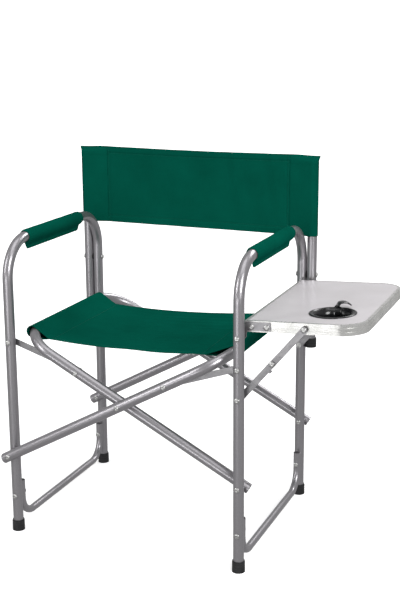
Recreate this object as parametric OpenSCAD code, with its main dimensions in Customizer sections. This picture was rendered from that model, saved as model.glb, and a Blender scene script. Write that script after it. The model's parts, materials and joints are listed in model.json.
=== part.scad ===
// Folding director chair with a side table.
// Millimetres, +Z up, the sitter looks along -Y and the table hangs on the +X side.
// The origin is on the floor, under the middle of the whole chair.

/* [Side frames] */
// Distance from the middle of the chair to the legs' axes
leg_x = 260; // [240:1:280]
// Distance between the front and the rear leg of one side frame
leg_span = 429; // [400:1:460]
// Height of the armrest tube's axis
arm_z = 640; // [600:1:680]
// Bend radius of the armrest's corners
arm_bend = 80; // [60:1:100]
// Outer diameter of the frame tubes
tube_d = 22; // [19:0.5:25.4]
// Wall of the frame tubes
tube_wall = 1; // [1:0.1:1.6]
// Gap between two crossing tubes, filled by a spacer
cross_gap = 1; // [1:0.1:2]

/* [Foot rails] */
// Outer diameter of the foot rails
rail_d = 16; // [14:0.5:18]
// Height of the foot rails' axis above the floor
rail_z = 24; // [20:1:40]
// Height of the foot rails' open ends
rail_top = 108; // [100:1:130]
// Bend radius of the foot rails
rail_bend = 45; // [35:1:50]
// Height of the rivets that hold the foot rails
rail_rivet_z = 80; // [70:1:92]

/* [Seat scissors] */
// Height of the lower pivots on the legs
low_pivot_z = 179; // [170:1:190]
// Slope of the scissor tubes with the chair open, in degrees
open_slope = 28.37; // [27:0.01:30]
// Distance from the centre pivot to the seat rail along a scissor tube
seat_reach = 260; // [250:1:261]
// Bend radius of the seat rails
seat_bend = 72; // [68:1:80]
// How far a scissor tube runs on past its lower pivot
tail = 16; // [14:1:18]
// Distance from the centre pivot to the link rivet
link_reach = 118.2; // [117.5:0.1:119]
// Height of the link pivots on the legs
link_z = 427; // [426:0.1:428]
// Width of the links and the table's braces
strap_w = 13; // [12:1:13]
// Thickness of the links and the table's braces
strap_t = 1.8; // [1.5:0.1:1.8]

/* [Back] */
// Distance from the middle of the chair to the back posts' axes
post_x = 282.8; // [282.6:0.1:286]
// Height of the back posts' top, inside the sling's closed sleeves
post_top = 785; // [760:1:790]
// Height of the back posts' bottom
post_bottom = 364; // [355:1:370]
// Height of the back sling's lower edge
back_low = 617; // [600:1:640]
// Height of the back sling's upper edge
back_high = 797; // [792:1:810]
// Height of the rivet just under the armrest
post_rivet_z = 529; // [515:1:540]
// Height of the lower rivet
post_low_rivet_z = 402; // [398:1:410]

/* [Fabric] */
// Thickness of the fabric's sleeves and panels
fabric = 1.4; // [1.2:0.1:1.5]
// Radius of the padded arm covers
pad_r = 16; // [15:0.5:16]
// Length of the padded arm covers
pad_length = 254; // [240:1:266]
// Distance from the left front leg's axis back to its arm cover
pad_front = 78; // [76:1:85]
// How far the arm cover's sewn flap hangs below it
flap_depth = 13; // [6:1:14]
// Depth of the seat sling from front to back
seat_depth = 331; // [325:1:335]
// Distance from the left front leg's axis back to the seat sling's front edge
seat_front = 37; // [35:1:40]
// How far the seat sling sags in the middle
seat_sag = 7; // [4:1:10]

/* [Side table] */
// Width of the tray, across its hinge edge to the outer edge
tray_w = 235; // [200:1:240]
// Height of the hinge pivots
hinge_z = 490.7; // [480:0.1:495]
// Height of the tray's top above the hinge pivots
tray_rise = 29.2; // [28:0.1:32]
// How far the tray tips up outwards, in degrees
tray_tilt = 2.2; // [0:0.1:3]
// Height of the tray's edge band
band_h = 22; // [20:0.5:24]
// Radius of the tray's outer corners
tray_corner = 55; // [40:1:60]
// Length of each half of a brace, from pivot to pivot
brace_l = 96.75; // [94:0.05:99]
// Height of the braces' lower pivots
brace_z = 365.5; // [362:0.1:370]

/* [Cup holder] */
// Radius of the cup ring's bore
cup_r = 38; // [36:0.5:39]
// Outer radius of the cup ring
ring_r = 46; // [45:0.5:46]
// Distance of the cup ring's centre from the hinge pivots, across the tray
cup_x = 157; // [140:1:160]
// Distance of the cup ring's centre from the tray's front edge
cup_y = 91; // [80:1:120]
// How far the cup's base hangs below the tray's top
cup_drop = 33; // [31:1:40]

/* [Hidden] */

$fn = 48;
tube_r = tube_d / 2;
rail_r = rail_d / 2;
shank_r = 3;
hole_r = shank_r + 0.05;
head_r = 5.5;
head_h = 2.2;
fit_gap = 0.3;
slip = 0.1;
eps = 0.5;

// The chair has two layers of tubes: the right frame and scissor tube A stand one layer in front.
layer = tube_d + cross_gap;
right_y = -layer;

// Scissors
pivot_reach = leg_x / cos(open_slope);
centre_z = low_pivot_z + leg_x * tan(open_slope);
seat_rail_x = seat_reach * cos(open_slope);
seat_rail_z = centre_z + seat_reach * sin(open_slope);
seat_seam_x = 188;
seat_seam_z = seat_rail_z - 12;
sleeve_gap = 1.2;
link_rivet_x = link_reach * cos(open_slope);
link_rivet_z = centre_z + link_reach * sin(open_slope);
link_l = norm([leg_x - link_rivet_x, link_z - link_rivet_z]);
link_slope = atan((link_z - link_rivet_z) / (leg_x - link_rivet_x));
link_y = tube_r + 0.2;

// Foot caps
cap_floor = 3.2;
cap_h = 24;

// Tray, in its own frame: the origin on the hinge axis, +X outwards along the tilted top
tray_x0 = 5;
tray_x1 = tray_x0 + tray_w;
tray_y0 = 0;
tray_y1 = leg_span - 2 * layer;
tray_mid_y = (tray_y0 + tray_y1) / 2;
band_t = 6;
panel_t = 5;
ledge_t = 1.1;
brace_slope = 49.68;
brace_reach = 2 * brace_l;
brace_top_x = brace_reach * cos(brace_slope);
brace_top_z = brace_z + brace_reach * sin(brace_slope);
brace_mid_x = brace_l * cos(brace_slope);
brace_mid_z = brace_z + brace_l * sin(brace_slope);
bracket_t = 2.2;
lower_brace_y = tray_y0 - 9;
upper_brace_y = tray_y0 - 6.8;

// Extents of the whole chair, which place the origin
left_end = -post_x - tube_r - head_h;
right_end = leg_x + tray_x1 * cos(tray_tilt) - (tray_rise - band_h) * sin(tray_tilt);
front_end = right_y - tube_r - head_h;
rear_end = leg_span + tube_r + head_h;
mid_x = (left_end + right_end) / 2;
mid_y = (front_end + rear_end) / 2;

steel = "silver";
green = [0, 0.31, 0.24];

// ---- Shared shapes ----

// Moves a shape from the chair's middle to the origin
module place() {
    translate([-mid_x, -mid_y, 0])
        children();
}

// The same thing at the front and, mirrored, at the rear of a frame whose front leg is at y0
module front_and_rear(y0) {
    children();
    translate([0, 2 * y0 + leg_span, 0])
        mirror([0, 1, 0])
            children();
}

// A rod along Y
module rod_y(x, z, y0, y1, r) {
    translate([x, y0, z])
        rotate([-90, 0, 0])
            cylinder(r = r, h = y1 - y0);
}

// A rivet head whose flat side is at the origin, standing along +Z
module rivet_head() {
    cylinder(r = head_r, h = 0.8);
    translate([0, 0, 0.8])
        cylinder(r1 = head_r, r2 = 3.2, h = head_h - 0.8);
}

// A rivet along Y from face y0 to face y1, with a head on each
module rivet_y(x, z, y0, y1, head0 = true, head1 = true) {
    rod_y(x, z, y0, y1, shank_r);
    if (head0)
        translate([x, y0, z])
            rotate([90, 0, 0])
                rivet_head();
    if (head1)
        translate([x, y1, z])
            rotate([-90, 0, 0])
                rivet_head();
}

// A washer or bush along Y
module washer_y(x, z, y0, y1, r) {
    difference() {
        rod_y(x, z, y0, y1, r);
        rod_y(x, z, y0 - eps, y1 + eps, hole_r);
    }
}

// A flat strap between two pivots in the XZ plane, from y0 to y0 + strap_t, drilled at both ends
module strap(x0, z0, length, slope, y0) {
    translate([x0, y0 + strap_t, z0])
        rotate([90, -slope, 0])
            linear_extrude(height = strap_t)
                difference() {
                    union() {
                        circle(d = strap_w);
                        translate([length, 0])
                            circle(d = strap_w);
                        translate([0, -strap_w / 2])
                            square([length, strap_w]);
                    }
                    circle(r = hole_r);
                    translate([length, 0])
                        circle(r = hole_r);
                }
}

// A U in the XY plane: two legs along X from x0 to x1, joined by a bend, a run along Y and a bend.
module u_bar(r, x0, x1, span, bend) {
    for (y = [0, span])
        translate([x0, y, 0])
            rotate([0, 90, 0])
                cylinder(r = r, h = x1 - bend - x0);
    translate([x1 - bend, bend, 0])
        rotate([0, 0, -90])
            rotate_extrude(angle = 90, $fn = 96)
                translate([bend, 0])
                    circle(r = r);
    translate([x1 - bend, span - bend, 0])
        rotate_extrude(angle = 90, $fn = 96)
            translate([bend, 0])
                circle(r = r);
    translate([x1, bend, 0])
        rotate([-90, 0, 0])
            cylinder(r = r, h = span - 2 * bend);
}

// The same U as a tube with open ends
module u_tube(r, wall, x0, x1, span, bend) {
    difference() {
        u_bar(r, x0, x1, span, bend);
        u_bar(r - wall, x0 - eps, x1, span, bend);
    }
}

// ---- Side frames, drawn on the left; the right one is the mirror image ----

module side(side_sign) {
    if (side_sign < 0)
        children();
    else
        translate([0, right_y, 0])
            mirror([1, 0, 0])
                children();
}

module side_frame(rivet_heights) {
    difference() {
        translate([-leg_x, 0, 0])
            rotate([0, -90, 0])
                u_tube(tube_r, tube_wall, cap_floor, arm_z, leg_span, arm_bend);
        for (z = rivet_heights)
            rod_y(-leg_x, z, -tube_r - eps, leg_span + tube_r + eps, hole_r);
        for (z = [post_rivet_z, post_low_rivet_z])
            translate([-leg_x - tube_r - eps, leg_span, z])
                rotate([0, 90, 0])
                    cylinder(r = hole_r, h = tube_d + 2 * eps);
    }
}

module foot_rail() {
    inset = tube_r + rail_r + fit_gap;
    difference() {
        translate([-leg_x, inset, 0])
            rotate([0, 90, 0])
                u_tube(rail_r, tube_wall, -rail_top, -rail_z, leg_span - 2 * inset, rail_bend);
        rod_y(-leg_x, rail_rivet_z, 0, leg_span, hole_r);
    }
}

module foot_rail_rivets() {
    front_and_rear(0)
        rivet_y(-leg_x, rail_rivet_z, -tube_r, tube_r + rail_d + fit_gap);
}

// A ribbed plastic cap on the lower end of an upright tube whose end is at z = 0
module ribbed_cap(height, floor_t) {
    ribs = 4;
    rib_step = height / ribs;
    translate([0, 0, -floor_t])
        difference() {
            union() {
                cylinder(r = tube_r + 1.7, h = height);
                for (i = [0:ribs - 1])
                    translate([0, 0, i * rib_step])
                        cylinder(r = tube_r + 2.4, h = rib_step * 0.55);
            }
            translate([0, 0, floor_t])
                cylinder(r = tube_r + 0.02, h = height);
        }
}

module foot_caps() {
    for (y = [0, leg_span])
        translate([-leg_x, y, cap_floor])
            ribbed_cap(cap_h, cap_floor);
}

module arm_pad() {
    pad_rear = pad_front + pad_length;
    flap_t = 2.4;
    flap_inset = 4;
    difference() {
        union() {
            rod_y(-leg_x, arm_z, pad_front, pad_rear, pad_r);
            translate([-leg_x - flap_t / 2, pad_front + flap_inset, arm_z - pad_r - flap_depth])
                cube([flap_t, pad_length - 2 * flap_inset, flap_depth + 2]);
        }
        rod_y(-leg_x, arm_z, pad_front - eps, pad_rear + eps, tube_r + 0.2);
    }
}

module back_post() {
    translate([-post_x, leg_span, post_bottom])
        difference() {
            cylinder(r = tube_r, h = post_top - post_bottom);
            translate([0, 0, -eps])
                cylinder(r = tube_r - tube_wall, h = post_top - post_bottom + 2 * eps);
            for (z = [post_rivet_z, post_low_rivet_z])
                translate([-tube_r - eps, 0, z - post_bottom])
                    rotate([0, 90, 0])
                        cylinder(r = hole_r, h = tube_d + 2 * eps);
        }
}

module post_cap() {
    cap_height = 21;
    floor_t = 3;
    difference() {
        translate([-post_x, leg_span, post_bottom])
            ribbed_cap(cap_height, floor_t);
        translate([-leg_x, leg_span, post_bottom - floor_t - eps])
            cylinder(r = tube_r + 0.05, h = cap_height + 2 * eps);
    }
}

module post_rivets() {
    for (z = [post_rivet_z, post_low_rivet_z])
        translate([-leg_x, leg_span, z])
            rotate([0, 0, 90])
                rivet_y(0, 0, -tube_r, post_x - leg_x + tube_r);
}

module post_washers() {
    for (z = [post_rivet_z, post_low_rivet_z])
        translate([-leg_x, leg_span, z])
            rotate([0, 0, 90])
                washer_y(0, 0, tube_r, post_x - leg_x - tube_r, 8);
}

// A rivet through both layers of tubes at the front and at the rear. It sits tight on the layer
// that it belongs to and leaves a slip gap beside the layer that turns on it.
module layer_rivets(x, z, turns_in_front) {
    for (y = [0, leg_span])
        rivet_y(
            x, z, y - layer - tube_r - (turns_in_front ? slip : 0),
            y + tube_r + (turns_in_front ? 0 : slip)
        );
}

module layer_spacers(x, z, turns_in_front) {
    for (y = [0, leg_span])
        washer_y(
            x, z, y - layer + tube_r + (turns_in_front ? slip : 0),
            y - tube_r - (turns_in_front ? 0 : slip), 8
        );
}

// Rivets that carry the links on the legs: their flat inner ends leave room for the braces
module link_pivot_rivets() {
    front_and_rear(0) {
        rivet_y(-leg_x, link_z, -tube_r, link_y + strap_t + slip, head1 = false);
        rod_y(-leg_x, link_z, link_y + strap_t + slip, link_y + strap_t + 0.6, head_r);
    }
}

// ---- Scissors ----

module scissor_tube() {
    translate([0, right_y, centre_z])
        rotate([0, -open_slope, 0])
            difference() {
                u_tube(tube_r, tube_wall, -pivot_reach - tail, seat_reach, leg_span, seat_bend);
                for (x = [-pivot_reach, 0, link_reach])
                    rod_y(x, 0, -tube_r - eps, leg_span + tube_r + eps, hole_r);
            }
}

// The tube's half of the link rivet; the link holds the other half
module scissor_link_rivets() {
    front_and_rear(right_y)
        rivet_y(link_rivet_x, link_rivet_z, right_y - tube_r, right_y + tube_r, head1 = false);
}

module scissor_b() {
    translate([0, layer, 0])
        mirror([1, 0, 0])
            children();
}

module front_link() {
    strap(-leg_x, link_z, link_l, -link_slope, link_y);
}

module rear_link() {
    translate([0, leg_span, 0])
        mirror([0, 1, 0])
            front_link();
}

module link_rivet_heads() {
    front_and_rear(0)
        rivet_y(-link_rivet_x, link_rivet_z, link_y, link_y + strap_t, head0 = false);
}

// ---- Fabric ----

module back_sling() {
    sleeve_r = tube_r + fit_gap + fabric;
    height = back_high - back_low;
    turn = atan(layer / (2 * post_x));
    difference() {
        union() {
            translate([-post_x, leg_span, back_low])
                cylinder(r = sleeve_r, h = height);
            translate([post_x, leg_span - layer, back_low])
                cylinder(r = sleeve_r, h = height);
            translate([-post_x, leg_span, back_low])
                rotate([0, 0, -turn])
                    translate([0, -tube_r / 2, 0])
                        cube([2 * post_x / cos(turn), fabric, height]);
        }
        for (p = [[-post_x, leg_span], [post_x, leg_span - layer]])
            translate([p.x, p.y, back_low - eps])
                cylinder(r = tube_r + fit_gap, h = height - fabric + eps);
    }
}

// A sleeve's outline round a rail: an arc of radius r, then two straight layers that meet at the tip
function sleeve_outline(r, tip, half) =
    let (
        high = tip + [0, half],
        low = tip - [0, half],
        start = atan2(high.y, high.x) + acos(r / norm(high)),
        end = 360 + atan2(low.y, low.x) - acos(r / norm(low)),
        steps = 32
    )
    concat(
        [for (i = [0:steps]) let (a = start + (end - start) * i / steps) [r * cos(a), r * sin(a)]],
        [low, high]
    );

// The sleeve at the left edge of the seat: it wraps the straight part of the rail, which starts
// at y0, and closes in a thin edge that laps the seat at the seam
module seat_sleeve(y0) {
    length = leg_span - 2 * seat_bend;
    r = tube_r + sleeve_gap + fabric;
    seam = [seat_rail_x - seat_seam_x, seat_seam_z - seat_rail_z];
    lap = 2;
    pocket_end = 5;
    translate([-seat_rail_x, y0 + length, seat_rail_z])
        rotate([90, 0, 0])
            linear_extrude(height = length)
                difference() {
                    polygon(sleeve_outline(r, seam + [lap, 0], fabric));
                    polygon(sleeve_outline(r - fabric, seam - [pocket_end, 0], eps));
                }
}

module seat_sling() {
    steps = 12;
    xs = [for (i = [-steps:steps]) i * seat_seam_x / steps];
    function sag(x) = seat_seam_z + fabric / 2 - seat_sag * (1 - pow(x / seat_seam_x, 2));
    upper = [for (x = xs) [x, sag(x)]];
    lower = [for (i = [0:2 * steps]) upper[2 * steps - i] - [0, fabric]];
    translate([0, seat_front + seat_depth, 0])
        rotate([90, 0, 0])
            linear_extrude(height = seat_depth)
                polygon(concat(upper, lower));
    seat_sleeve(seat_bend);
    mirror([1, 0, 0])
        seat_sleeve(right_y + seat_bend);
}

// ---- Side table ----

// Moves a shape from the tray's own frame to the open table
module tray_place() {
    translate([leg_x, 0, hinge_z])
        rotate([0, -tray_tilt, 0])
            children();
}

// The tray's outline, square at the hinge edge and round at the outer corners
module tray_outline(inset) {
    x0 = tray_x0 + inset;
    x1 = tray_x1 - inset;
    y0 = tray_y0 + inset;
    y1 = tray_y1 - inset;
    r = tray_corner - inset;
    translate([x0, y0])
        square([x1 - r - x0, y1 - y0]);
    translate([x0, y0 + r])
        square([x1 - x0, y1 - y0 - 2 * r]);
    for (y = [y0 + r, y1 - r])
        translate([x1 - r, y])
            circle(r = r, $fn = 96);
}

module band_layer(z0, z1, inset) {
    translate([0, 0, z0])
        linear_extrude(height = z1 - z0)
            difference() {
                tray_outline(inset);
                tray_outline(band_t);
            }
}

// An extruded edge band with two shallow grooves round its face
module table_edge_band() {
    z0 = tray_rise - band_h;
    groove = 0.9;
    rib_tops = [0, 0.3, 0.42, 0.68, 0.8, 1];
    tray_place()
        difference() {
            union() {
                for (i = [0:4])
                    band_layer(z0 + rib_tops[i] * band_h, z0 + rib_tops[i + 1] * band_h, i % 2 * groove);
                translate([0, 0, tray_rise - panel_t - ledge_t])
                    linear_extrude(height = ledge_t)
                        difference() {
                            tray_outline(band_t - 1);
                            tray_outline(band_t + 8);
                        }
            }
            bracket_rivet_rods(hole_r);
            brace_table_rods(hole_r);
        }
}

module table_panel() {
    tray_place()
        translate([0, 0, tray_rise - panel_t])
            linear_extrude(height = panel_t)
                difference() {
                    tray_outline(band_t);
                    translate([cup_x, cup_y])
                        circle(r = ring_r + 0.1);
                }
}

bracket_rivet_xs = [19, 50];
bracket_rivet_z = tray_rise - band_h / 2 - 0.8;

// Rods where the brackets' rivets go through the band, in the tray's frame
module bracket_rivet_rods(r) {
    for (x = bracket_rivet_xs)
        rod_y(x, bracket_rivet_z, tray_y0 - bracket_t, tray_y0 + band_t + eps, r);
    for (x = bracket_rivet_xs)
        rod_y(x, bracket_rivet_z, tray_y1 - band_t - eps, tray_y1 + bracket_t, r);
}

// The same for the braces' upper rivets
module brace_table_rods(r) {
    tilted = [brace_top_x, 0, brace_top_z - hinge_z];
    x = tilted.x * cos(tray_tilt) + tilted.z * sin(tray_tilt);
    z = tilted.z * cos(tray_tilt) - tilted.x * sin(tray_tilt);
    rod_y(x, z, tray_y0 - eps, tray_y0 + band_t + eps, r);
    rod_y(x, z, tray_y1 - band_t - eps, tray_y1 + eps, r);
}

// The same thing at the table's front and, mirrored, at its rear
module table_ends() {
    children();
    translate([0, 2 * tray_mid_y, 0])
        mirror([0, 1, 0])
            children();
}

module table_brackets() {
    table_ends()
        tray_place()
            translate([0, tray_y0, 0])
                rotate([90, 0, 0])
                    linear_extrude(height = bracket_t)
                        difference() {
                            union() {
                                circle(r = 8);
                                polygon([
                                    [-6.5, 4.6], [8, tray_rise - 2], [58, tray_rise - 2],
                                    [58, tray_rise - band_h + 3], [10, tray_rise - band_h + 3], [6.5, -4.6]
                                ]);
                            }
                            circle(r = hole_r);
                            for (x = bracket_rivet_xs)
                                translate([x, bracket_rivet_z])
                                    circle(r = hole_r);
                        }
}

module table_bracket_rivets() {
    table_ends()
        tray_place()
            for (x = bracket_rivet_xs)
                rivet_y(x, bracket_rivet_z, tray_y0 - bracket_t, tray_y0 + band_t);
}

module table_hinge_rivets() {
    table_ends()
        rivet_y(leg_x, hinge_z, right_y - tube_r, tray_y0 + slip);
}

module table_hinge_spacers() {
    table_ends()
        washer_y(leg_x, hinge_z, right_y + tube_r, tray_y0 - bracket_t - slip, 6.5);
}

module lower_brace() {
    strap(leg_x, brace_z, brace_l, brace_slope, lower_brace_y);
    // Stop tab that keeps the open brace from going over centre
    translate([leg_x + brace_mid_x, lower_brace_y, brace_mid_z])
        rotate([0, -brace_slope, 0])
            translate([-17, 0, -strap_w / 2 - 3.4])
                cube([7, strap_t, 4]);
}

module upper_brace() {
    strap(leg_x + brace_mid_x, brace_mid_z, brace_l, brace_slope, upper_brace_y);
}

// Moves a front piece of the table to the table's rear
module at_table_rear() {
    translate([0, 2 * tray_mid_y, 0])
        mirror([0, 1, 0])
            children();
}

module brace_leg_rivets() {
    table_ends() {
        rivet_y(leg_x, brace_z, right_y - tube_r, lower_brace_y + strap_t + slip / 2, head1 = false);
        rod_y(leg_x, brace_z, lower_brace_y + strap_t + slip / 2, lower_brace_y + strap_t + 0.3, head_r);
    }
}

module brace_leg_spacers() {
    table_ends()
        washer_y(leg_x, brace_z, right_y + tube_r, lower_brace_y - slip, 6.5);
}

module brace_table_rivets() {
    table_ends()
        rivet_y(leg_x + brace_top_x, brace_top_z, upper_brace_y - slip, tray_y0 + band_t);
}

module brace_table_spacers() {
    table_ends()
        washer_y(leg_x + brace_top_x, brace_top_z, upper_brace_y + strap_t + slip, tray_y0, 6.5);
}

// The brace's middle rivet in two halves, one on each strap
module lower_brace_rivet_heads() {
    table_ends()
        rivet_y(leg_x + brace_mid_x, brace_mid_z, lower_brace_y, lower_brace_y + strap_t, head1 = false);
}

module upper_brace_rivet_heads() {
    table_ends()
        rivet_y(leg_x + brace_mid_x, brace_mid_z, upper_brace_y, upper_brace_y + strap_t, head0 = false);
}

// ---- Cup holder ----

cup_depth = 12;
strap_slot_w = 17;
strap_y0 = cup_r + 0.6;
strap_y1 = strap_y0 + 2.6;

module cup_place() {
    tray_place()
        translate([cup_x, cup_y, tray_rise])
            children();
}

module cup_ring() {
    cup_place()
        difference() {
            union() {
                translate([0, 0, -panel_t])
                    cylinder(r = ring_r, h = panel_t, $fn = 96);
                translate([0, 0, -cup_depth])
                    cylinder(r = ring_r - 1.5, h = cup_depth - 1, $fn = 96);
            }
            translate([0, 0, -cup_depth - eps])
                cylinder(r = cup_r, h = cup_depth + 2 * eps, $fn = 96);
            translate([-strap_slot_w / 2, cup_r - 2, -cup_depth - eps])
                cube([strap_slot_w, strap_y1 - cup_r + 2.4, cup_depth + 2 * eps]);
        }
}

// A round base on a strap that slides in the ring's slot, with a thumb hook at the top
module cup_base() {
    strap_half = strap_slot_w / 2 - 0.4;
    cup_place() {
        translate([0, 0, -cup_drop])
            cylinder(r = cup_r - 1, h = 3, $fn = 96);
        translate([-strap_half, 0, -cup_drop])
            cube([2 * strap_half, strap_y1, 3]);
        translate([-strap_half, strap_y0, -cup_drop])
            cube([2 * strap_half, strap_y1 - strap_y0, cup_drop + 12]);
        translate([-strap_half - 2.5, strap_y0, 0.05])
            cube([2 * strap_half + 5, strap_y1 - strap_y0, 2]);
        translate([-strap_half, strap_y0, 9.4])
            cube([2 * strap_half, ring_r - strap_y0 - 1, 2.6]);
        translate([-strap_half - 1.5, ring_r - 3.4, 6])
            cube([2 * strap_half + 3, 2.4, 6]);
    }
}

// ---- Nodes ----

leg_rivets = [rail_rivet_z, low_pivot_z, link_z];
table_leg_rivets = concat(leg_rivets, [brace_z, hinge_z]);

color(steel) place() side(-1) side_frame(leg_rivets);  // left_side_frame
color(steel) place() side(-1) foot_rail();  // left_foot_rail
color(steel) place() side(-1) foot_rail_rivets();  // left_foot_rail_rivets
color("black") place() side(-1) foot_caps();  // left_foot_caps
color(green) place() side(-1) arm_pad();  // left_arm_pad
color(steel) place() side(-1) back_post();  // left_back_post
color("black") place() side(-1) post_cap();  // left_post_cap
color(steel) place() side(-1) post_rivets();  // left_post_rivets
color("black") place() side(-1) post_washers();  // left_post_washers
color(steel) place() layer_rivets(-leg_x, low_pivot_z, true);  // left_low_pivot_rivets
color("black") place() layer_spacers(-leg_x, low_pivot_z, true);  // left_low_pivot_spacers
color(steel) place() side(-1) link_pivot_rivets();  // left_link_pivot_rivets
color(steel) place() side(1) side_frame(table_leg_rivets);  // right_side_frame
color(steel) place() side(1) foot_rail();  // right_foot_rail
color(steel) place() side(1) foot_rail_rivets();  // right_foot_rail_rivets
color("black") place() side(1) foot_caps();  // right_foot_caps
color(green) place() side(1) arm_pad();  // right_arm_pad
color(steel) place() side(1) back_post();  // right_back_post
color("black") place() side(1) post_cap();  // right_post_cap
color(steel) place() side(1) post_rivets();  // right_post_rivets
color("black") place() side(1) post_washers();  // right_post_washers
color(steel) place() layer_rivets(leg_x, low_pivot_z, false);  // right_low_pivot_rivets
color("black") place() layer_spacers(leg_x, low_pivot_z, false);  // right_low_pivot_spacers
color(steel) place() side(1) link_pivot_rivets();  // right_link_pivot_rivets
color(steel) place() scissor_tube();  // scissor_tube_a
color(steel) place() scissor_link_rivets();  // scissor_tube_a_link_rivets
color(steel) place() layer_rivets(0, centre_z, false);  // centre_pivot_rivets
color("black") place() layer_spacers(0, centre_z, false);  // centre_pivot_spacers
color(steel) place() scissor_b() scissor_tube();  // scissor_tube_b
color(steel) place() scissor_b() scissor_link_rivets();  // scissor_tube_b_link_rivets
color(steel) place() side(-1) front_link();  // left_front_link
color(steel) place() side(-1) rear_link();  // left_rear_link
color(steel) place() side(-1) link_rivet_heads();  // left_link_rivet_heads
color(steel) place() side(1) front_link();  // right_front_link
color(steel) place() side(1) rear_link();  // right_rear_link
color(steel) place() side(1) link_rivet_heads();  // right_link_rivet_heads
color(green) place() back_sling();
color(green) place() seat_sling();
color("whitesmoke") place() table_panel();
color(steel) place() table_edge_band();
color(steel) place() table_brackets();
color(steel) place() table_bracket_rivets();
color(steel) place() table_hinge_rivets();
color("black") place() table_hinge_spacers();
color(steel) place() brace_leg_rivets();
color("black") place() brace_leg_spacers();
color(steel) place() brace_table_rivets();
color("black") place() brace_table_spacers();
color(steel) place() lower_brace();  // front_lower_brace
color(steel) place() at_table_rear() lower_brace();  // rear_lower_brace
color(steel) place() lower_brace_rivet_heads();
color(steel) place() upper_brace();  // front_upper_brace
color(steel) place() at_table_rear() upper_brace();  // rear_upper_brace
color(steel) place() upper_brace_rivet_heads();
color("black") place() cup_ring();
color("black") place() cup_base();
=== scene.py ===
"""Looks of a folding director chair with a side table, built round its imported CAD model.

Metres, +Z up, the sitter looks along -Y, and the table is on the +X side. Places on the chair are
worked out from the CAD nodes' boxes. The fabric, the arm covers, the rivets' domes and the cup
holder's small parts are made here.
"""

import json
import math

import bmesh
import bpy
import numpy as np
from mathutils import Matrix, Vector


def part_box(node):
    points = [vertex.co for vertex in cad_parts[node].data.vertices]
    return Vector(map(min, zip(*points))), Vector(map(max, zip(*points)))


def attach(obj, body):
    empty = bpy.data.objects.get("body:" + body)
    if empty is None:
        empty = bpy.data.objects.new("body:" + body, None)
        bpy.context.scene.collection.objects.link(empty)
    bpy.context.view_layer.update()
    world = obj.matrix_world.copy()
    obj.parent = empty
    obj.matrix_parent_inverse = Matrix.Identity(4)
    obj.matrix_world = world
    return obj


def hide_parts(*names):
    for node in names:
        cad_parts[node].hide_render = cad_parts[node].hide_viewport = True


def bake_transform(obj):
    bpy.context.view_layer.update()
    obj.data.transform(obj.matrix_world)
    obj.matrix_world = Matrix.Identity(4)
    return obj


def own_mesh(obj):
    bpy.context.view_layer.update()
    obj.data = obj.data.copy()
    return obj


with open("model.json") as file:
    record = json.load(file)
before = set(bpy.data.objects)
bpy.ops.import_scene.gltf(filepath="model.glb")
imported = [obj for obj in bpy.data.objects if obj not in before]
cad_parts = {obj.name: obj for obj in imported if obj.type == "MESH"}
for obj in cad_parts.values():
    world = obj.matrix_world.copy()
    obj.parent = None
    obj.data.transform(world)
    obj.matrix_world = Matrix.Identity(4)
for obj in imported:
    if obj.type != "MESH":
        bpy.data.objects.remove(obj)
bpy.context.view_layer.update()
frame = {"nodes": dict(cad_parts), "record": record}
rng = np.random.default_rng(31)

MM = 0.001
TUBE_R = 11 * MM
FABRIC_T = 1.1 * MM
SLEEVE_R = TUBE_R + 0.9 * MM
HEM = 18 * MM
HEM_LINE = HEM - 2.5 * MM
STITCH_PITCH = 4.2 * MM
STITCH_LENGTH = 3.0 * MM
STITCH_LIFT = 0.75 * MM
THREAD_R = 0.45 * MM


# ---- Places, read from the frame ----


def middle(node):
    low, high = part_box(node)
    return (low + high) / 2


LEFT_LEG_X = middle("left_side_frame").x
RIGHT_LEG_X = middle("right_side_frame").x
CENTRE_X = (LEFT_LEG_X + RIGHT_LEG_X) / 2
ARM_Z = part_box("left_side_frame")[1].z - TUBE_R
LEFT_POST = middle("left_back_post")
RIGHT_POST = middle("right_back_post")
BACK_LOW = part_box("back_sling")[0].z
BACK_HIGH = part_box("back_sling")[1].z
SEAT_LOW, SEAT_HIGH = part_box("seat_sling")
SEAT_SLEEVE_R = 13.6 * MM
RAIL_X = SEAT_HIGH.x - CENTRE_X - SEAT_SLEEVE_R
RAIL_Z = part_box("scissor_tube_a")[1].z - TUBE_R
PANEL_LOW, PANEL_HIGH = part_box("table_panel")


# ---- Materials ----


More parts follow.
